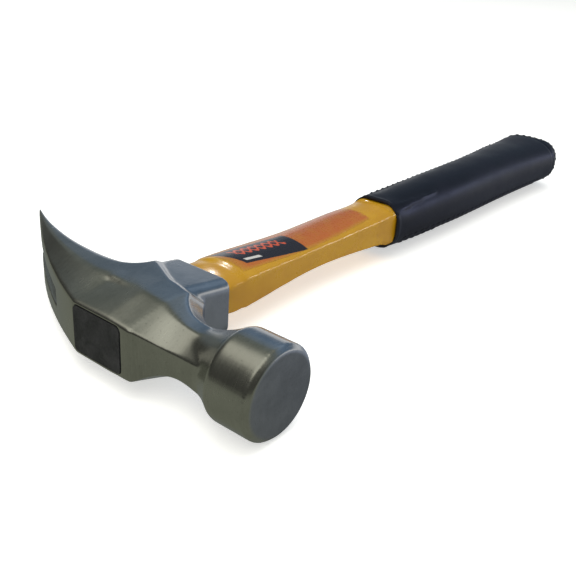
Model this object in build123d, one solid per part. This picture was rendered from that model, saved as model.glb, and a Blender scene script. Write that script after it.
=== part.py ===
# Claw hammer with a forged steel head and a fibreglass handle, lying on its side.
#
# Frame: +X runs along the handle from the head to the butt, the striking face looks
# along -Y and the claws point along +Y, and +Z is up, square to the side of the head.
# The origin is the centre of the underside of the hammer's own box.
#
# Inside this file a place on the hammer is given by three lengths:
#   down   how far it lies from the crown of the head, along the handle
#   reach  how far it lies from the handle's centre line, towards the striking face
#   side   how far it lies from the mid-plane of the head
from build123d import *
import math
import os

os.makedirs("parts", exist_ok=True)

# Overall sizes, in millimetres
overall_length = 323.0  # crown of the head to the end of the butt
face_reach = 57.8  # handle centre line to the striking face
claw_reach = 74.0  # handle centre line to the claw tips

# Bell: the round striking end
bell_radius = 14.5
bell_down = 15.8  # crown to the bell's axis
bell_length = 15.6  # cylinder from its back shoulder to the face
face_bevel = 1.5
shoulder_bevel = 0.5
flare_length = 15.0  # concave cone from the neck up to the shoulder
flare_sag = 0.3  # how far the cone is hollowed
flare_root_gap = 0.4  # the cone starts this far inside the neck's flanks

# Neck: an eight-sided bar between the bell and the eye block
neck_half = 8.6  # half its width at the waist
neck_crown_side = 5.7  # crown to the neck's crown-side facet at the waist
neck_handle_side = 23.6  # crown to the neck's handle-side facet at the waist
neck_root_reach = 14.5  # where the neck leaves the eye block
neck_waist_share = 0.5  # where along the neck the waist starts
neck_flat_share = 0.45  # width of its crown and handle facets, as a share of the neck
neck_bevel_share = 0.6  # depth of its lower bevels, as a share of the half width

# Eye block and the socket boss below it
crown_half = 9.0  # half the width of the flat crown
cheek_half = 13.4  # half the width at the cheeks
block_depth = 27.0  # crown to the underside of the bar
ridge_down = 14.0  # crown to the ridge along the side of the head
block_low_bevel = 7.0  # depth of the bevels along the block's underside
block_low_half = 6.4  # half the flat between them
block_claw_reach = 10.0  # where the claws leave the eye block
cheek_reach = 5.0  # where the cheeks are widest, towards the striking face
boss_length = 43.2  # crown to the mouth of the socket
boss_reach = 13.4  # half the boss, along the head
mouth_half = 9.8  # half the width of the boss at its mouth
boss_corner = 3.4
boss_inset = 0.4  # the boss lies this far inside the cheeks
boss_taper_start = 18.0  # crown to where the boss starts to taper
web_depth = 5.0  # hollow fillet between the boss and the bar, measured along the handle
web_reach = 8.0  # and measured along the head

# Eye: one straight hole through the block and the boss
eye_reach = 10.5
eye_half = 7.8
eye_corner = 1.6

# Claws: outer and inner curves, measured down from the crown
claw_mid_reach = 44.0
claw_outer_mid = 14.4
claw_outer_tip = 32.6
claw_inner_root = 26.4
claw_inner_mid = 24.3
claw_half = 12.9  # half the width across both claws
claw_edge = 0.6  # thickness left at the tips
claw_outer_bevel = 0.52  # bevels of the claws, as shares of their thickness
claw_inner_bevel = 0.12
claw_sections = 8
notch_root_reach = 33.0  # blunt end of the nail notch
notch_root_half = 0.8
notch_tip_half = 4.0
notch_draft = 5.0  # degrees by which the notch opens towards the outer curve

# Handle: core, moulded jacket and its shoulders
core_reach = 7.0
core_half = 4.0
core_corner = 2.0
core_cover = 3.5  # epoxy over the core's end at the crown
tenon_length = 9.0  # how far the jacket goes into the socket
waist_down = 98.0  # crown to the slimmest place of the handle
waist_face_side = 8.6
waist_claw_side = 13.0
waist_edge = 3.8  # half height of the flat flank
waist_half = 6.5  # half thickness at the middle of the flats
throat_face_side = 10.4  # handle just below the socket
throat_claw_side = 12.9
throat_edge = 5.5
throat_half = 8.4
heel_bulge = 0.8  # how far the claw side bows out between socket and waist

# Grip
mouth_down = 148.0  # crown to the mouth of the grip
mouth_wall = 1.3
seat_centre = 0.6
seat_reach = 11.0  # jacket under the grip
seat_half = 9.2
seat_corner = 6.0
seat_edge_share = 0.66  # flank of the handle at the grip's mouth, as a share of the seat
palm_reach = 13.8
palm_half = 12.8
butt_reach = 18.4
butt_half = 13.0
palm_swell = 1.8  # how far the palm bows towards the face side
butt_lean = 0.6  # how far the butt leans towards the face side
butt_rounding = 13.0  # length over which the butt rounds off
butt_inset = 10.0  # how far its rounding would draw in at a quarter turn
butt_wall = 16.0  # rubber beyond the jacket's end
grip_corner = 0.85  # corner radius of the grip, as a share of its half thickness

# Label: printed film on the upper flat
label_socket_gap = 13.8  # bare handle between the socket and the film
label_grip_gap = 13.0  # and between the film and the grip
label_margin = 1.8
label_corner = 6.0
film = 0.2

x_origin = overall_length / 2
y_origin = (claw_reach - face_reach) / 2
z_origin = bell_radius


def at(down, reach, side):
    """The point of the shared frame at these three lengths."""
    return (down - x_origin, -reach - y_origin, side + z_origin)


def quadratic(x, points):
    """The parabola through three points, at x."""
    (x0, y0), (x1, y1), (x2, y2) = points
    return (
        y0 * (x - x1) * (x - x2) / ((x0 - x1) * (x0 - x2))
        + y1 * (x - x0) * (x - x2) / ((x1 - x0) * (x1 - x2))
        + y2 * (x - x0) * (x - x1) / ((x2 - x0) * (x2 - x1))
    )


def bar_section(reach, top, bottom, flat_half, side_half, top_bevel, low_bevel, low_half):
    """Eight-sided cut across the bar of the head, square to the reach."""
    half = [
        (flat_half, top),
        (side_half, top + top_bevel),
        (side_half, bottom - low_bevel),
        (low_half, bottom),
    ]
    ring = half + [(-side, down) for side, down in reversed(half)]
    return Wire.make_polygon([at(down, reach, side) for side, down in ring], close=True)


def across_handle(down, reach=0.0):
    """A drawing plane square to the handle: its x is the reach."""
    return Plane(at(down, reach, 0), x_dir=(0, -1, 0), z_dir=(1, 0, 0))


def rounded(down, reach_centre, reach_half, side_half, corner):
    """Rounded rectangle square to the handle."""
    sketch = RectangleRounded(2 * reach_half, 2 * side_half, corner)
    return (across_handle(down, reach_centre) * sketch).face().outer_wire()


def handle_section(down, face_side, claw_side, edge, half, skin=0.0):
    """Flat-flanked handle section with a gently crowned top and underside."""
    face = face_side + skin
    claw = -claw_side - skin
    middle = (face + claw) / 2
    flank = edge + skin
    crown = half + skin
    upper_face, upper_claw = at(down, face, flank), at(down, claw, flank)
    lower_face, lower_claw = at(down, face, -flank), at(down, claw, -flank)
    return Wire(
        [
            Edge.make_line(lower_face, upper_face),
            Edge.make_three_point_arc(upper_face, at(down, middle, crown), upper_claw),
            Edge.make_line(upper_claw, lower_claw),
            Edge.make_three_point_arc(lower_claw, at(down, middle, -crown), lower_face),
        ]
    )


def mix(start, end, share):
    """This share of the way from one row of sizes to another."""
    return [a + (b - a) * share for a, b in zip(start, end)]


def bell():
    back = face_reach - bell_length
    neck_end = back - flare_length
    root = neck_half - flare_root_gap
    shoulder = bell_radius - shoulder_bevel
    middle = (root + shoulder) / 2 - flare_sag
    axis_line = Polyline((0, face_reach), (0, neck_end), (root, neck_end))
    hollow = ThreePointArc((root, neck_end), (middle, back - 0.4 * flare_length), (shoulder, back))
    rest = Polyline(
        (shoulder, back),
        (bell_radius, back + shoulder_bevel),
        (bell_radius, face_reach - face_bevel),
        (bell_radius - face_bevel, face_reach),
        (0, face_reach),
    )
    half = make_face(axis_line + hollow + rest)
    plane = Plane(at(bell_down, 0, 0), x_dir=(1, 0, 0), z_dir=(0, 0, -1))
    return revolve(plane * half, Axis(at(bell_down, 0, 0), (0, -1, 0)), 360)


def web(reach):
    """How much deeper the bar is near the boss, at this reach from the handle's centre line."""
    left = max(0.0, 1.0 - (abs(reach) - boss_reach) / web_reach)
    return web_depth * left**2


def block_root():
    """Top, bottom, flat, side, top bevel, low bevel and low flat where the neck leaves the block."""
    side = cheek_half - 0.8
    return 0.0, block_depth, crown_half - 0.4, side, ridge_down, block_low_bevel, block_low_half


def neck_waist():
    """The same seven sizes at the neck's waist."""
    flat = neck_half * neck_flat_share
    top_bevel = ridge_down - 1.0 - neck_crown_side
    low_bevel = neck_half * neck_bevel_share
    return neck_crown_side, neck_handle_side, flat, neck_half, top_bevel, low_bevel, flat


def neck_section(reach, share):
    """Neck section, this share of the way from the block to the waist."""
    top, bottom, *rest = mix(neck_waist(), block_root(), (1 - share) ** 2)
    return bar_section(reach, top, bottom + web(reach), *rest)


def neck():
    """The neck narrows in a curve from the eye block to its waist."""
    end = face_reach - bell_length - 1.0
    length = end - neck_root_reach
    sections = []
    for share in (0.0, 0.22, 0.56, 1.0):
        sections.append(neck_section(neck_root_reach + share * neck_waist_share * length, share))
    sections.append(bar_section(end, *neck_waist()))
    return Solid.make_loft(sections, ruled=False)


def claw_curves(reach):
    """Outer and inner curve of the claws, and the half width of their outer side."""
    outer = quadratic(
        reach, [(block_claw_reach, 0.0), (claw_mid_reach, claw_outer_mid), (claw_reach, claw_outer_tip)]
    )
    inner = quadratic(
        reach,
        [
            (block_claw_reach, claw_inner_root),
            (claw_mid_reach, claw_inner_mid),
            (claw_reach, claw_outer_tip + claw_edge),
        ],
    )
    widths = [(block_claw_reach, crown_half), (claw_mid_reach, claw_half - 3.2), (claw_reach, claw_half - 0.4)]
    outer_half = quadratic(reach, widths)
    return outer, inner + web(reach), outer_half


def claw_section(reach):
    outer, inner, outer_half = claw_curves(reach)
    thickness = inner - outer
    inner_bevel = claw_inner_bevel * thickness
    inner_half = claw_half - inner_bevel / 2
    outer_bevel = claw_outer_bevel * thickness
    return bar_section(-reach, outer, inner, outer_half, claw_half, outer_bevel, inner_bevel, inner_half)


def claws():
    step = (claw_reach - block_claw_reach) / (claw_sections - 1)
    sections = [claw_section(block_claw_reach + i * step) for i in range(claw_sections)]
    return Solid.make_loft(sections, ruled=False)


def eye_block():
    """The straight middle of the head, widest at the cheeks."""
    depth = block_depth + web_depth
    low = block_low_bevel, block_low_half
    cheeks = bar_section(cheek_reach, 0, depth, crown_half, cheek_half, ridge_down, *low)
    sections = [neck_section(neck_root_reach, 0.0), cheeks, claw_section(block_claw_reach)]
    return Solid.make_loft(sections, ruled=True)


def boss():
    """Socket boss: widest at the cheeks, tapering to its mouth."""
    side = cheek_half - boss_inset
    lower = rounded(ridge_down, 0, boss_reach, side, boss_corner)
    upper = rounded(boss_taper_start, 0, boss_reach, side, boss_corner)
    mouth = rounded(boss_length, 0, boss_reach, mouth_half, boss_corner)
    return Solid.make_loft([lower, upper], ruled=True) + Solid.make_loft([upper, mouth], ruled=True)


def notch():
    """Tapered nail notch between the claws, open at the tips."""
    past = 2.0
    grow = (notch_tip_half - notch_root_half) / (claw_reach - notch_root_reach)
    outline = [
        (notch_root_reach, notch_root_half),
        (claw_reach + past, notch_tip_half + past * grow),
        (claw_reach + past, -notch_tip_half - past * grow),
        (notch_root_reach, -notch_root_half),
    ]
    start = block_depth + 12.0
    base = Face(Wire.make_polygon([at(start, -reach, side) for reach, side in outline], close=True))
    return extrude(base, amount=start + 4.0, dir=(-1, 0, 0), taper=-notch_draft)


def eye_column(start, end):
    """The eye's own shape between two depths."""
    return extrude(
        across_handle(start) * RectangleRounded(2 * eye_reach, 2 * eye_half, eye_corner), amount=end - start
    )


def head():
    body = eye_block() + neck() + claws() + bell() + boss()
    body -= eye_column(-1.0, boss_length + 1.0)
    body -= notch()
    return body


def core():
    """Pultruded rod from just under the crown to the butt."""
    start = core_cover
    end = overall_length - butt_wall
    return extrude(
        across_handle(start) * RectangleRounded(2 * core_reach, 2 * core_half, core_corner), amount=end - start
    )


def epoxy():
    """Potting that fills the eye round the core, flush with the crown."""
    return eye_column(0, boss_length - tenon_length) - core()


def handle_stations():
    """Depth, face side, claw side, flank half height and half thickness along the visible handle."""
    throat = throat_face_side, throat_claw_side, throat_edge, throat_half
    waist = waist_face_side, waist_claw_side, waist_edge, waist_half
    seat = seat_centre + seat_reach, seat_reach - seat_centre, seat_half * seat_edge_share, seat_half
    stations = []
    for share in (0.0, 0.15, 0.35, 0.67):
        face, claw, edge, half = mix(throat, waist, (1 - math.cos(math.pi * share)) / 2)
        claw += heel_bulge * math.sin(math.pi * share)
        stations.append((boss_length + share * (waist_down - boss_length), face, claw, edge, half))
    for share in (0.0, 0.32, 0.62, 1.0):
        face, claw, edge, half = mix(waist, seat, share**1.8)
        stations.append((waist_down + share * (mouth_down + 1.0 - waist_down), face, claw, edge, half))
    return stations


def visible_handle(skin=0.0):
    return Solid.make_loft([handle_section(*row, skin) for row in handle_stations()], ruled=False)


def jacket():
    """Yellow moulded jacket: tenon, visible handle and the seat under the grip."""
    end = overall_length - butt_wall
    tenon = eye_column(boss_length - tenon_length, boss_length)
    seat_outline = RectangleRounded(2 * seat_reach, 2 * seat_half, seat_corner)
    seat = extrude(across_handle(mouth_down, seat_centre) * seat_outline, amount=end - mouth_down)
    return tenon + visible_handle() + seat - core()


def grip_half(part):
    """Centre, half reach and half thickness, from 0 at the mouth to 1 where the butt rounds off."""
    swell = math.sin(math.pi * min(part / 0.5, 1.0) / 2)
    flare = (max(0.0, part - 0.45) / 0.55) ** 2
    centre = seat_centre + palm_swell * math.sin(math.pi * part**0.9) + butt_lean * flare
    mouth = seat_reach + mouth_wall, seat_half + mouth_wall
    half_reach, half_side = mix(mouth, (palm_reach, palm_half), swell)
    half_reach += (butt_reach - palm_reach) * flare
    half_side += (butt_half - palm_half) * flare
    return centre, half_reach, half_side


def grip():
    """Black rubber sleeve with a closed, flared butt."""
    rounding_start = overall_length - butt_rounding
    count = 9
    sleeve = []
    for i in range(count):
        part = i / (count - 1)
        centre, reach, side = grip_half(part)
        down = mouth_down + (rounding_start - mouth_down) * part
        sleeve.append(rounded(down, centre, reach, side, grip_corner * side))
    centre, reach, side = grip_half(1.0)
    last_turn = math.radians(77)
    steps = 5
    dome = []
    for i in range(steps + 1):
        turn = last_turn * i / steps
        shrink = butt_inset * (1 - math.cos(turn))
        down = rounding_start + butt_rounding * math.sin(turn) / math.sin(last_turn)
        dome.append(rounded(down, centre, reach - shrink, side - shrink, grip_corner * (side - shrink)))
    whole = Solid.make_loft(sleeve, ruled=False) + Solid.make_loft(dome, ruled=False)
    return whole - jacket() - core()


def label():
    """Printed film that follows the crowned upper flat."""
    start = boss_length + label_socket_gap
    length = mouth_down - label_grip_gap - start
    width = waist_face_side + waist_claw_side - 2 * label_margin
    middle = (waist_face_side - waist_claw_side) / 2
    plane = Plane(at(start + length / 2, middle, 0), x_dir=(1, 0, 0), z_dir=(0, 0, 1))
    column = extrude(plane * RectangleRounded(length, width, label_corner), amount=3 * throat_half)
    return (visible_handle(film) & column) - visible_handle()


pieces = {
    "head": head,
    "epoxy_fill": epoxy,
    "fibreglass_core": core,
    "handle_jacket": jacket,
    "grip": grip,
    "label": label,
}

for name, make in pieces.items():
    export_step(make(), f"parts/{name}.step")
    print(name, "written")
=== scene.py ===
import math
import bpy
from mathutils import Matrix, Vector


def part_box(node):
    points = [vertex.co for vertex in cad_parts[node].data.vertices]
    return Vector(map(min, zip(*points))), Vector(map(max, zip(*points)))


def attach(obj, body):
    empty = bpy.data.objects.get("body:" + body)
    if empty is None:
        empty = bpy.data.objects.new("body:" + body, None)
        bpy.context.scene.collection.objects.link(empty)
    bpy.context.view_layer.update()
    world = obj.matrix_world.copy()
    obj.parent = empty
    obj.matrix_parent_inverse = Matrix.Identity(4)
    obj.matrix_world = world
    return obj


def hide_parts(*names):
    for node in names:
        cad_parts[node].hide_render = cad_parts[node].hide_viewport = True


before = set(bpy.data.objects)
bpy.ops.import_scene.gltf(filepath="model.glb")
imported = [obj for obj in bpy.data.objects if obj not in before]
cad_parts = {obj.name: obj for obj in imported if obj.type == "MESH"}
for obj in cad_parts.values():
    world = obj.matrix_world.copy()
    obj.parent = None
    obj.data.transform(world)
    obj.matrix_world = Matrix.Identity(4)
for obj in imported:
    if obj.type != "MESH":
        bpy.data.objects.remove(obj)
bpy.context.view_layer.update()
print("frame loaded")

# Places on the hammer are given in millimetres: down from the crown along the handle,
# reach from the handle's line towards the striking face, side up from the head's mid-plane.
headLow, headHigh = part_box("head")
coreLow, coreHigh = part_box("fibreglass_core")
crownX = headLow.x
handleY = (coreLow.y + coreHigh.y) / 2
midZ = (headLow.z + headHigh.z) / 2
bossEnd = (headHigh.x - crownX) * 1000  # mouth of the socket
gripStart = (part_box("grip")[0].x - crownX) * 1000  # mouth of the grip


def spot(down, reach, side):
    return Vector((crownX + down / 1000, handleY - reach / 1000, midZ + side / 1000))


def measures(point):
    return (point.x - crownX) * 1000, (handleY - point.y) * 1000, (point.z - midZ) * 1000


def ease(value, start, end):
    share = min(1.0, max(0.0, (value - start) / (end - start)))
    return share * share * (3 - 2 * share)


def deselectAll():
    if bpy.context.object and bpy.context.object.mode != "OBJECT":
        bpy.ops.object.mode_set(mode="OBJECT")
    bpy.ops.object.select_all(action="DESELECT")


def makeActive(piece):
    deselectAll()
    piece.select_set(True)
    bpy.context.view_layer.objects.active = piece


def editAll(piece):
    makeActive(piece)
    bpy.ops.object.mode_set(mode="EDIT")
    bpy.ops.mesh.select_all(action="SELECT")


def applyAll(piece):
    makeActive(piece)
    for modifier in list(piece.modifiers):
        bpy.ops.object.modifier_apply(modifier=modifier.name)


def copyOf(node, name):
    piece = bpy.data.objects.new(name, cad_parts[node].data.copy())
    bpy.context.scene.collection.objects.link(piece)
    piece.data.name = name
    piece.data.materials.clear()
    editAll(piece)
    bpy.ops.mesh.remove_doubles(threshold=0.000002)
    bpy.ops.mesh.normals_make_consistent(inside=False)
    bpy.ops.object.mode_set(mode="OBJECT")
    return piece


def remesh(piece, voxel):
    skin = piece.modifiers.new("skin", "REMESH")
    skin.mode = "VOXEL"
    skin.voxel_size = voxel
    applyAll(piece)


def soften(piece, rounds, weight=None):
    smooth = piece.modifiers.new("soften", "SMOOTH")
    smooth.factor = 0.5
    smooth.iterations = rounds
    if weight:
        group = piece.vertex_groups.new(name=weight.__name__)
        for vertex in piece.data.vertices:
            group.add([vertex.index], weight(*measures(vertex.co)), "REPLACE")
        smooth.vertex_group = group.name
    applyAll(piece)


def moveEach(piece, change):
    # change returns the new down, reach and side of a point
    for vertex in piece.data.vertices:
        vertex.co = spot(*change(*measures(vertex.co)))
    piece.data.update()


def shadeSmooth(piece, angle=None):
    makeActive(piece)
    if angle:
        bpy.ops.object.shade_smooth_by_angle(angle=math.radians(angle))
    else:
        bpy.ops.object.shade_smooth()


def finishPiece(piece, material, slot, *nodes):
    piece.data.materials.clear()
    piece.data.materials.append(material)
    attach(piece, "root")
    if nodes:
        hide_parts(*nodes)
    print("piece", piece.name, len(piece.data.polygons), "faces")


# Material building

class Finish:
    def __init__(self, name):
        self.material = bpy.data.materials.new(name)
        self.material.use_nodes = True
        self.tree = self.material.node_tree
        self.shader = self.tree.nodes["Principled BSDF"]
        self.place = self.add("ShaderNodeTexCoord").outputs["Object"]

    def add(self, kind, **settings):
        node = self.tree.nodes.new(kind)
        for key, value in settings.items():
            setattr(node, key, value)
        return node

    def plug(self, source, target):
        if isinstance(source, (int, float)):
            target.default_value = source
        elif isinstance(source, tuple):
            target.default_value = source if len(source) == 4 else (*source, 1.0)
        else:
            self.tree.links.new(source, target)

    def moved(self, scale=(1, 1, 1), location=(0, 0, 0), turn=(0, 0, 0)):
        node = self.add("ShaderNodeMapping")
        self.plug(self.place, node.inputs["Vector"])
        node.inputs["Scale"].default_value = scale
        node.inputs["Location"].default_value = location
        node.inputs["Rotation"].default_value = turn
        return node.outputs["Vector"]

    def noise(self, scale, detail=4.0, roughness=0.55, vector=None, distortion=0.0):
        node = self.add("ShaderNodeTexNoise")
        self.plug(vector or self.place, node.inputs["Vector"])
        node.inputs["Scale"].default_value = scale
        node.inputs["Detail"].default_value = detail
        node.inputs["Roughness"].default_value = roughness
        node.inputs["Distortion"].default_value = distortion
        return node.outputs["Fac"]

    def ramp(self, source, *stops):
        node = self.add("ShaderNodeValToRGB")
        self.plug(source, node.inputs["Fac"])
        band = node.color_ramp
        while len(band.elements) < len(stops):
            band.elements.new(0.5)
        for element, (position, colour) in zip(band.elements, stops):
            element.position = position
            element.color = (colour,) * 3 + (1,) if isinstance(colour, (int, float)) else (*colour, 1)
        return node.outputs["Color"]

    def math(self, operation, first, second=0.0, clamp=False):
        node = self.add("ShaderNodeMath", operation=operation, use_clamp=clamp)
        self.plug(first, node.inputs[0])
        self.plug(second, node.inputs[1])
        return node.outputs[0]

    def scaled(self, source, low, high, fromLow=0.0, fromHigh=1.0):
        node = self.add("ShaderNodeMapRange")
        self.plug(source, node.inputs["Value"])
        node.inputs["From Min"].default_value = fromLow
        node.inputs["From Max"].default_value = fromHigh
        node.inputs["To Min"].default_value = low
        node.inputs["To Max"].default_value = high
        return node.outputs["Result"]

    def mixed(self, share, first, second, blend="MIX"):
        node = self.add("ShaderNodeMix", data_type="RGBA", blend_type=blend)
        self.plug(share, node.inputs["Factor"])
        self.plug(first, node.inputs[6])
        self.plug(second, node.inputs[7])
        return node.outputs[2]

    def bump(self, height, strength, distance, under=None):
        node = self.add("ShaderNodeBump")
        self.plug(height, node.inputs["Height"])
        node.inputs["Strength"].default_value = strength
        node.inputs["Distance"].default_value = distance
        if under:
            self.plug(under, node.inputs["Normal"])
        return node.outputs["Normal"]

    def edges(self, low, high):
        # 0 on flats, 1 on sharp outer edges
        return self.scaled(self.add("ShaderNodeNewGeometry").outputs["Pointiness"], 0.0, 1.0, low, high)

    def axis(self, name):
        node = self.add("ShaderNodeSeparateXYZ")
        self.plug(self.place, node.inputs["Vector"])
        return node.outputs[name]

    def surface(self, colour=None, roughness=None, normal=None, **fixed):
        if colour is not None:
            self.plug(colour, self.shader.inputs["Base Color"])
        if roughness is not None:
            self.plug(roughness, self.shader.inputs["Roughness"])
        if normal is not None:
            self.plug(normal, self.shader.inputs["Normal"])
        for key, value in fixed.items():
            self.shader.inputs[key.replace("_", " ")].default_value = value
        return self.material


# Forged steel: ground and satin polished, its edges painted brighter, partly as wear and partly as a painted
# highlight
steel = {
    "dark": (0.42, 0.42, 0.41),
    "light": (0.54, 0.54, 0.53),
    "edge": (0.85, 0.86, 0.88),
    "roughLow": 0.17,
    "roughHigh": 0.26,
}


def steelFinish():
    f = Finish("forgedSteel")
    patches = f.noise(70, 5, 0.6)
    grind = f.noise(1, 3, 0.6, f.moved((180, 2600, 180)))
    cross = f.noise(1, 2, 0.5, f.moved((2400, 90, 900), turn=(0, 0, 0.5)))
    specks = f.noise(1400, 3, 0.7)
    tone = f.mixed(f.scaled(patches, 0, 1, 0.3, 0.7), steel["dark"], steel["light"])
    streaked = f.mixed(f.scaled(grind, 0.0, 0.22, 0.45, 0.75), tone, (0.7, 0.7, 0.68))
    pits = f.ramp(specks, (0.30, 0.55), (0.40, 1.0))
    pitted = f.mixed(0.5, streaked, pits, "MULTIPLY")
    # sharp edges lighter: partly worn metal, partly a painted highlight along the rounded edges
    edgesLightened = f.mixed(f.edges(0.58, 0.76), pitted, steel["edge"])
    rough = f.scaled(patches, steel["roughLow"], steel["roughHigh"], 0.3, 0.7)
    rough = f.math("ADD", rough, f.scaled(grind, -0.05, 0.07))
    normal = f.bump(grind, 0.10, 0.00004)
    normal = f.bump(cross, 0.05, 0.00003, normal)
    normal = f.bump(patches, 0.10, 0.0004, normal)
    return f.surface(edgesLightened, rough, normal, Metallic=1.0)


# Potting compound in the eye: near black and slightly grainy
potting = {"deep": (0.012, 0.013, 0.016), "pale": (0.030, 0.030, 0.034)}


def pottingFinish():
    f = Finish("epoxyPotting")
    grain = f.noise(900, 5, 0.65)
    swirl = f.noise(160, 3, 0.5, distortion=0.6)
    colour = f.mixed(f.scaled(swirl, 0, 1, 0.35, 0.7), potting["deep"], potting["pale"])
    rough = f.scaled(grain, 0.42, 0.68, 0.3, 0.7)
    normal = f.bump(swirl, 0.5, 0.0006)
    normal = f.bump(grain, 0.35, 0.00015, normal)
    return f.surface(colour, rough, normal)


# Fibreglass rod: translucent amber with strands along its length
rod = {"resin": (0.42, 0.30, 0.12), "strand": (0.70, 0.60, 0.38)}


def rodFinish():
    f = Finish("fibreglassRod")
    strands = f.noise(1, 3, 0.6, f.moved((30, 2400, 2400)))
    colour = f.mixed(f.scaled(strands, 0, 1, 0.35, 0.65), rod["resin"], rod["strand"])
    rough = f.scaled(strands, 0.30, 0.50)
    return f.surface(colour, rough, f.bump(strands, 0.3, 0.0001))


# Moulded jacket: glossy golden yellow
jacket = {
    "yellow": (0.47, 0.252, 0.006),
    "amber": (0.35, 0.155, 0.003),
    "rubAndHighlight": (0.72, 0.48, 0.10),
    "panelStart": 56.0,  # end of the raised flat that carries the label
    "shoulderDrop": 0.8,
    "socketDrop": 1.2,
    "voxel": 0.0006,
    "throatHalf": 8.4,  # half thickness of the handle just below the socket
}


def jacketFinish():
    f = Finish("yellowJacket")
    cloud = f.noise(45, 4, 0.55)
    flow = f.noise(1, 4, 0.6, f.moved((25, 420, 420)))
    fine = f.noise(1800, 3, 0.6)
    tone = f.mixed(f.scaled(cloud, 0.0, 0.75, 0.35, 0.75), jacket["yellow"], jacket["amber"])
    tone = f.mixed(f.scaled(flow, 0.0, 0.35, 0.5, 0.8), tone, jacket["amber"])
    # sharp edges lighter: partly rubbed wear, partly a painted highlight along the edges
    edgesLightened = f.mixed(f.edges(0.53, 0.64), tone, jacket["rubAndHighlight"])
    rough = f.math("ADD", f.scaled(cloud, 0.20, 0.34, 0.3, 0.7), f.scaled(fine, -0.03, 0.05))
    normal = f.bump(flow, 0.12, 0.0002)
    normal = f.bump(fine, 0.08, 0.00004, normal)
    return f.surface(edgesLightened, rough, normal, Coat_Weight=0.12, Coat_Roughness=0.10, Specular_IOR_Level=0.4)


# Rubber grip: blue black, slightly chalky on what is handled
rubber = {"black": (0.004, 0.0042, 0.007), "grey": (0.009, 0.0095, 0.016), "edge": (0.040, 0.042, 0.060)}


def rubberFinish():
    f = Finish("blackRubber")
    cloud = f.noise(60, 4, 0.6)
    skin = f.noise(1500, 4, 0.65)
    tone = f.mixed(f.scaled(cloud, 0, 1, 0.35, 0.7), rubber["black"], rubber["grey"])
    edgesLightened = f.mixed(f.edges(0.53, 0.66), tone, rubber["edge"])
    rough = f.math("ADD", f.scaled(cloud, 0.34, 0.50, 0.3, 0.7), f.scaled(skin, -0.05, 0.08))
    normal = f.bump(skin, 0.25, 0.00012)
    return f.surface(edgesLightened, rough, normal, Specular_IOR_Level=0.22)


# Printed film: orange field that fades to yellow, a dark panel with two crossing waves, and a pale bar
film = {
    "orange": (0.44, 0.110, 0.005),
    "yellow": (0.47, 0.252, 0.006),
    "panel": (0.010, 0.004, 0.002),
    "wave": (0.60, 0.085, 0.020),
    "bar": (0.62, 0.60, 0.58),
    "waveHeight": 2.1,
    "panelNear": 5.3,
    "panelFar": -9.8,
    "panelSkew": 0.10,
}


def filmFinish():
    f = Finish("labelFilm")
    down = f.math("MULTIPLY", f.math("SUBTRACT", f.axis("X"), crownX), 1000.0)
    reach = f.math("MULTIPLY", f.math("SUBTRACT", handleY, f.axis("Y")), 1000.0)

    def between(value, low, high, blur):
        rise = f.scaled(value, 0, 1, low - blur, low + blur)
        fall = f.scaled(value, 1, 0, high - blur, high + blur)
        return f.math("MULTIPLY", rise, fall)

    cloud = f.noise(220, 4, 0.6)
    ragged = f.math("ADD", down, f.scaled(cloud, -4, 4))
    field = f.math("MULTIPLY", between(ragged, 58, 136, 3.5), between(reach, -10.4, 6.4, 1.2))
    base = f.mixed(field, film["yellow"], film["orange"])
    base = f.mixed(f.scaled(cloud, 0, 0.30, 0.45, 0.75), base, film["yellow"])
    slanted = f.math("SUBTRACT", reach, f.math("MULTIPLY", f.math("SUBTRACT", down, 76.0), film["panelSkew"]))
    start = f.math("SUBTRACT", down, f.math("MULTIPLY", reach, 0.36))
    sides = between(slanted, film["panelFar"] + 1.6, film["panelNear"], 0.12)
    ends = f.math("MULTIPLY", f.scaled(start, 0, 1, 60.4, 60.6), f.scaled(down, 1, 0, 92.9, 93.1))
    inPanel = f.math("MULTIPLY", sides, ends)
    base = f.mixed(inPanel, base, film["panel"])
    crest = f.math("MULTIPLY", f.math("SINE", f.math("MULTIPLY", down, 0.92)), film["waveHeight"])
    level = f.math("ADD", slanted, 3.3)
    firstWave = f.math("ABSOLUTE", f.math("SUBTRACT", level, crest))
    secondWave = f.math("ABSOLUTE", f.math("ADD", level, crest))
    near = f.math("MINIMUM", firstWave, secondWave)
    wave = f.math("MULTIPLY", f.scaled(near, 1, 0, 0.50, 0.95), between(start, 65.5, 88.0, 0.3))
    base = f.mixed(f.math("MULTIPLY", wave, inPanel), base, film["wave"])
    bar = f.math("MULTIPLY", between(slanted, 2.2, 3.6, 0.1), between(start, 62.6, 70.0, 0.1))
    base = f.mixed(bar, base, film["bar"])
    rough = f.scaled(f.noise(900, 3, 0.6), 0.22, 0.34)
    return f.surface(base, rough, f.bump(cloud, 0.08, 0.0002), Coat_Weight=0.25, Coat_Roughness=0.12)


# Head: the forged body, its edges rounded as by forging and grinding
head = {"voxel": 0.00045, "rounds": 6, "blockRounds": 36, "neckRounds": 30}


def blockSides(down, reach, side):
    # the sides of the eye block run into the claws and the neck without a break
    along = ease(reach, -42, -18) * (1 - ease(reach, 16, 28))
    return along * ease(abs(side), 7.6, 9.8) * (1 - ease(down, 16, 25))


def neckAndFlare(down, reach, side):
    return ease(reach, 22, 32) * (1 - ease(reach, 42.5, 44.5))


def allButFace(down, reach, side):
    return 1.0 - 0.4 * ease(reach, 40, 43)


def buildHead():
    piece = copyOf("head", "hammerHead")
    remesh(piece, head["voxel"])
    soften(piece, head["blockRounds"], blockSides)
    soften(piece, head["neckRounds"], neckAndFlare)
    soften(piece, head["rounds"], allButFace)
    shadeSmooth(piece)
    finishPiece(piece, steelFinish(), "forged_steel", "head")
    return piece


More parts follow.
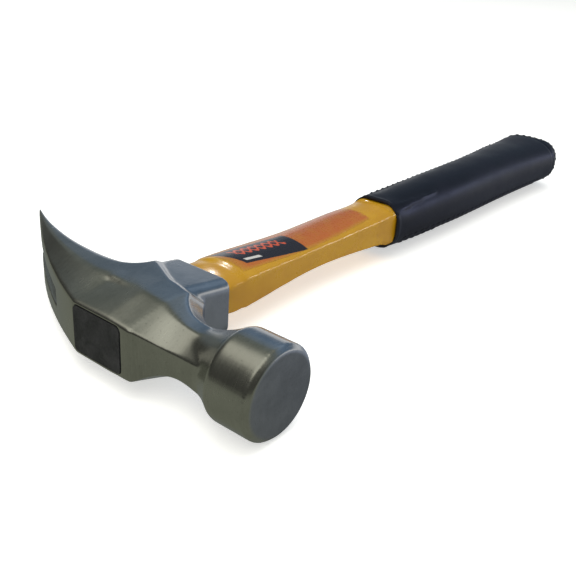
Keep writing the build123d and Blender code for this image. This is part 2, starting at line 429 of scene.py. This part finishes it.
def buildJacket():
    piece = copyOf("handle_jacket", "handleShell")
    remesh(piece, jacket["voxel"])

    def shoulder(down, reach, side):
        # a rounded rise out of the socket, then a step up to the flat that carries the label
        drop = jacket["shoulderDrop"] * (1 - ease(down, jacket["panelStart"] - 3, jacket["panelStart"]))
        drop += jacket["socketDrop"] * (1 - ease(down, bossEnd, bossEnd + 7.5))
        return down, reach, side * (1 - drop * ease(down, 36, bossEnd - 1) / jacket["throatHalf"])

    moveEach(piece, shoulder)
    soften(piece, 3)
    shadeSmooth(piece)
    finishPiece(piece, jacketFinish(), "yellow_jacket", "handle_jacket")
    return piece


# Grip: rubber sleeve with a lip at its mouth, ribs along both narrow edges and a line round the butt
grip = {
    "lip": 0.5,
    "lipLength": 3.2,
    "groove": 0.45,
    "grooveDown": 309.5,
    "ribStep": 4.6,
    "ribStart": 158.0,
    "ribEnd": 300.0,
    "ribSides": (-9.2, -6.2),
    "ribSize": (0.0017, 0.00045, 0.00035),
    "ribSlant": 38,
    "nubSize": (0.0006, 0.0006, 0.0004),
    "nubRows": (312.8, 315.6, 318.2),
    "nubCount": 22,
    "voxel": 0.0008,
    "crownShare": 0.95,
    "crownPower": 2.2,
    "seatReach": 11.7,  # everything inside these two is the bore, which stays as it is
    "seatSide": 9.7,
}


def outerSkin(down, reach, side):
    inSeat = abs(reach) < grip["seatReach"] and abs(side) < grip["seatSide"] and down < 312
    return 0.0 if inSeat else ease(down, gripStart + 2, gripStart + 10)


def sleeveShape(down, reach, side):
    inSeat = abs(reach) < grip["seatReach"] and abs(side) < grip["seatSide"]
    if inSeat and down < 306:
        return down, reach, side
    bulge = grip["lip"] * (1 - ease(down, gripStart + 1.2, gripStart + grip["lipLength"]))
    bulge -= grip["groove"] * ease(down, grip["grooveDown"] - 0.9, grip["grooveDown"]) * (
        1 - ease(down, grip["grooveDown"], grip["grooveDown"] + 0.9)
    )
    away = math.hypot(reach, side) or 1.0
    return down, reach * (1 + bulge / away), side * (1 + bulge / away)


def crownGrip(piece):
    # turns the rounded block into a nearly elliptical sleeve, within its own width and height
    power = grip["crownPower"]
    slices = {}
    for vertex in piece.data.vertices:
        down, reach, side = measures(vertex.co)
        key = round(down)
        low, high, half = slices.get(key, (reach, reach, side))
        slices[key] = (min(low, reach), max(high, reach), max(half, side))

    def rounder(down, reach, side):
        share = grip["crownShare"] * outerSkin(down, reach, side) * (1 - ease(down, 311, 318))
        low, high, half = slices[round(down)]
        across = (reach - (low + high) / 2) / ((high - low) / 2)
        size = (abs(across) ** power + abs(side / half) ** power) ** (1 / power)
        scale = 1 + share * (min(1.0, 1 / size) - 1) if size > 0.8 else 1.0
        middle = (low + high) / 2
        return down, middle + (reach - middle) * scale, side * scale

    moveEach(piece, rounder)


def surfacePoint(piece, down, reach, side, towards):
    # first point of the piece met from outside, and its normal
    start = spot(down, reach, side)
    hit, point, normal, face = piece.ray_cast(start, towards)
    return (point, normal) if hit else None


def sortFaces(piece):
    # the sphere's faces come in another order on each run, its points do not;
    # a face of four keeps its diagonal, so the shape stays the same
    mesh = piece.data
    points = [tuple(vertex.co) for vertex in mesh.vertices]
    faces = []
    for polygon in mesh.polygons:
        corners = list(polygon.vertices)
        starts = range(0, len(corners), 2 if len(corners) == 4 else 1)
        first = min(starts, key=lambda start: corners[start])
        faces.append(corners[first:] + corners[:first])
    mesh.clear_geometry()
    mesh.from_pydata(points, [], sorted(faces))


def makeRib(name, size, segments):
    deselectAll()
    bpy.ops.mesh.primitive_uv_sphere_add(segments=segments, ring_count=6, radius=1)
    rib = bpy.context.object
    rib.name = rib.data.name = name
    bpy.ops.object.mode_set(mode="EDIT")
    bpy.ops.mesh.select_all(action="SELECT")
    bpy.ops.transform.resize(value=size)
    bpy.ops.object.mode_set(mode="OBJECT")
    sortFaces(rib)
    shadeSmooth(rib)
    return rib


def setRib(rib, point, normal, along, copies):
    copy = rib.copy()
    copy.data = rib.data.copy()
    bpy.context.scene.collection.objects.link(copy)
    side = normal.cross(along).normalized()
    straight = side.cross(normal).normalized()
    turn = Matrix((straight, side, normal)).transposed().to_4x4()
    copy.matrix_world = Matrix.Translation(point) @ turn
    copies.append(copy)


def buildGrip():
    piece = copyOf("grip", "rubberGrip")
    remesh(piece, grip["voxel"])
    crownGrip(piece)
    soften(piece, 12, outerSkin)
    soften(piece, 5)
    moveEach(piece, sleeveShape)
    soften(piece, 1)
    shadeSmooth(piece)
    rib = makeRib("gripRib", grip["ribSize"], 10)
    nub = makeRib("gripNub", grip["nubSize"], 8)
    copies = []
    bpy.context.view_layer.update()
    for edge in (1, -1):
        slant = math.radians(grip["ribSlant"]) * edge
        down = grip["ribStart"]
        while down < grip["ribEnd"]:
            for side in grip["ribSides"]:
                found = surfacePoint(piece, down, 40 * edge, side * edge, Vector((0, edge, 0)))
                if found:
                    setRib(rib, *found, Vector((math.cos(slant), 0, math.sin(slant))), copies)
            down += grip["ribStep"]
    for row, down in enumerate(grip["nubRows"]):
        for step in range(grip["nubCount"]):
            angle = math.tau * (step + row / 2) / grip["nubCount"]
            away = Vector((0, -math.cos(angle), math.sin(angle)))
            start = spot(down, 0, 0) + away * 0.05
            hit, point, normal, face = piece.ray_cast(start, -away)
            if hit:
                setRib(nub, point, normal, Vector((0, -math.sin(angle), -math.cos(angle))), copies)
    bpy.data.objects.remove(rib)
    bpy.data.objects.remove(nub)
    deselectAll()
    for copy in copies:
        copy.select_set(True)
    piece.select_set(True)
    bpy.context.view_layer.objects.active = piece
    bpy.ops.object.join()
    finishPiece(piece, rubberFinish(), "black_rubber", "grip")
    return piece


# Label film, laid on the upper flat of the jacket
label = {"start": 57.0, "end": 135.0, "near": 6.8, "far": -11.2, "lift": 0.00003, "thick": 0.00004}


def buildLabel(shell):
    middle = spot((label["start"] + label["end"]) / 2, (label["near"] + label["far"]) / 2, 14)
    deselectAll()
    bpy.ops.mesh.primitive_grid_add(x_subdivisions=156, y_subdivisions=36, size=1, location=middle)
    piece = bpy.context.object
    piece.name = piece.data.name = "labelFilm"
    piece.scale = ((label["end"] - label["start"]) / 1000, (label["near"] - label["far"]) / 1000, 1)
    bpy.ops.object.transform_apply(location=True, rotation=True, scale=True)
    wrap = piece.modifiers.new("lay", "SHRINKWRAP")
    wrap.target = shell
    wrap.wrap_method = "PROJECT"
    wrap.use_project_z = True
    wrap.use_negative_direction = True
    wrap.use_positive_direction = False
    wrap.offset = label["lift"]
    body = piece.modifiers.new("body", "SOLIDIFY")
    body.thickness = label["thick"]
    body.offset = 1.0
    applyAll(piece)
    shadeSmooth(piece, 40)
    finishPiece(piece, filmFinish(), "label_film", "label")
    return piece


buildHead()
jacketPiece = buildJacket()
gripPiece = buildGrip()
labelPiece = buildLabel(jacketPiece)
for node, material in (("epoxy_fill", pottingFinish()), ("fibreglass_core", rodFinish())):
    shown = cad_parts[node]
    shown.data.materials.clear()
    shown.data.materials.append(material)
print("pieces made")

# Floor, lights and camera
studio = {
    "floorSize": 24.0,
    "floorColour": (0.90, 0.90, 0.90),
    "floorGlow": 0.55,
    "wallReach": 11.0,
    "wallHeight": 16.0,
    "lens": 46.67,
    "eye": (-0.2795, -0.1670, 0.1263),
    "turn": (64.47, -3.79, -51.01),
}


def buildFloor():
    deselectAll()
    bpy.ops.mesh.primitive_plane_add(size=studio["floorSize"], location=(0, 0, -0.0003))
    floor = bpy.context.object
    floor.name = "studioFloor"
    f = Finish("studioFloor")
    soft = f.noise(3, 2, 0.5)
    colour = f.mixed(f.scaled(soft, 0, 0.05), studio["floorColour"], (0.85, 0.86, 0.88))
    material = f.surface(colour, 0.85, Emission_Color=(1, 1, 1, 1), Emission_Strength=studio["floorGlow"])
    floor.data.materials.append(material)
    floor.visible_glossy = False
    # a pale wall far behind, only there to be looked at
    deselectAll()
    bpy.ops.mesh.primitive_cylinder_add(
        vertices=128, radius=studio["wallReach"], depth=studio["wallHeight"], end_fill_type="NOTHING"
    )
    wall = bpy.context.object
    wall.name = "studioWall"
    paint = Finish("studioWall")
    shade = paint.mixed(paint.scaled(paint.noise(0.3, 2, 0.5), 0, 1), (0.90, 0.90, 0.90), (0.94, 0.94, 0.94))
    paint.plug(shade, paint.shader.inputs["Emission Color"])
    wall.data.materials.append(paint.surface((0.0, 0.0, 0.0), 1.0, Emission_Strength=1.0))
    wall.visible_glossy = wall.visible_diffuse = wall.visible_shadow = False


# Sky colours by height, from straight down (0) to straight up (1), left and right of the camera's view
sky = {
    "left": (
        (0.00, (0.19, 0.20, 0.15)),
        (0.47, (0.20, 0.21, 0.16)),
        (0.54, (0.045, 0.045, 0.038)),
        (0.76, (0.085, 0.086, 0.072)),
        (0.84, (0.17, 0.17, 0.14)),
        (0.89, (0.72, 0.71, 0.58)),
        (0.95, (0.62, 0.62, 0.51)),
        (1.00, (0.80, 0.80, 0.66)),
    ),
    "middle": (
        (0.00, (0.17, 0.18, 0.15)),
        (0.50, (0.20, 0.22, 0.20)),
        (0.65, (0.15, 0.17, 0.17)),
        (0.88, (0.16, 0.175, 0.145)),
        (1.00, (0.20, 0.21, 0.17)),
    ),
    "right": (
        (0.00, (0.10, 0.11, 0.12)),
        (0.265, (0.145, 0.160, 0.180)),
        (0.30, (0.29, 0.33, 0.41)),
        (0.41, (0.32, 0.36, 0.44)),
        (0.47, (0.80, 0.83, 0.88)),
        (0.56, (0.80, 0.82, 0.85)),
        (0.62, (0.16, 0.22, 0.30)),
        (0.74, (0.13, 0.20, 0.30)),
        (0.84, (0.28, 0.38, 0.52)),
        (0.95, (0.16, 0.19, 0.21)),
    ),
}


def buildWorld():
    world = bpy.data.worlds.new("studioWorld")
    bpy.context.scene.world = world
    world.use_nodes = True
    tree = world.node_tree
    place = tree.nodes.new("ShaderNodeTexCoord")
    split = tree.nodes.new("ShaderNodeSeparateXYZ")
    tree.links.new(place.outputs["Generated"], split.inputs["Vector"])
    height = tree.nodes.new("ShaderNodeMapRange")
    height.inputs["From Min"].default_value = -1.0
    tree.links.new(split.outputs["Z"], height.inputs["Value"])

    def strip(side):
        ramp = tree.nodes.new("ShaderNodeValToRGB")
        band = ramp.color_ramp
        while len(band.elements) < len(sky[side]):
            band.elements.new(0.5)
        for element, (position, colour) in zip(band.elements, sky[side]):
            element.position = position
            element.color = (*colour, 1)
        tree.links.new(height.outputs["Result"], ramp.inputs["Fac"])
        return ramp.outputs["Color"]

    def blend(low, high, first, second):
        # first below the low X, second above the high one
        across = tree.nodes.new("ShaderNodeMapRange")
        across.inputs["From Min"].default_value = low
        across.inputs["From Max"].default_value = high
        tree.links.new(split.outputs["X"], across.inputs["Value"])
        mix = tree.nodes.new("ShaderNodeMix")
        mix.data_type = "RGBA"
        tree.links.new(across.outputs["Result"], mix.inputs["Factor"])
        tree.links.new(first, mix.inputs[6])
        tree.links.new(second, mix.inputs[7])
        return mix.outputs[2]

    leftAndMiddle = blend(0.02, 0.24, strip("left"), strip("middle"))
    whole = blend(0.42, 0.68, leftAndMiddle, strip("right"))
    tree.links.new(whole, tree.nodes["Background"].inputs["Color"])


def addLight(name, place, aim, size, power, colour, shine=True, only=None):
    deselectAll()
    bpy.ops.object.light_add(type="AREA", location=place)
    light = bpy.context.object
    light.name = name
    light.data.shape = "RECTANGLE"
    light.data.size, light.data.size_y = size
    light.data.energy = power
    light.data.color = colour
    light.rotation_euler = (Vector(aim) - Vector(place)).to_track_quat("-Z", "Y").to_euler()
    light.visible_glossy = shine
    if only:
        lit = bpy.data.collections.new(name + "Lit")
        for piece in only:
            lit.objects.link(piece)
        light.light_linking.receiver_collection = lit
    return light


buildFloor()
buildWorld()
white = (1.0, 1.0, 1.0)
cream = (1.0, 0.98, 0.92)
addLight("overhead", (0.1, 0.1, 1.6), (0, 0, 0), (1.8, 1.8), 17, white, shine=False)
addLight("leftFill", (-0.9, -0.5, 0.9), (0, 0, 0), (0.9, 0.9), 5, cream, shine=False)
addLight(
    "handleShine", (0.268, 0.48, 0.675), (-0.11, 0, 0.02), (0.08, 0.08), 2.6, (1.0, 1.0, 0.98),
    only=(jacketPiece,),
)
addLight(
    "edgeShine", (0.62, -0.42, 0.50), (-0.06, 0, 0.02), (0.14, 0.14), 1.6, cream,
    only=(jacketPiece, labelPiece),
)
addLight(
    "gripSheen", (0.98, -0.82, 0.42), (0.07, 0, 0.01), (0.30, 0.20), 3.0, (0.56, 0.62, 1.0),
    only=(gripPiece,),
)
deselectAll()
bpy.ops.object.camera_add(location=studio["eye"], rotation=[math.radians(a) for a in studio["turn"]])
camera = bpy.context.object
camera.data.lens = studio["lens"]
camera.data.sensor_width = 36.0
camera.data.clip_start = 0.01
bpy.context.scene.camera = camera
bpy.context.scene.view_settings.view_transform = "Standard"
print("studio set")
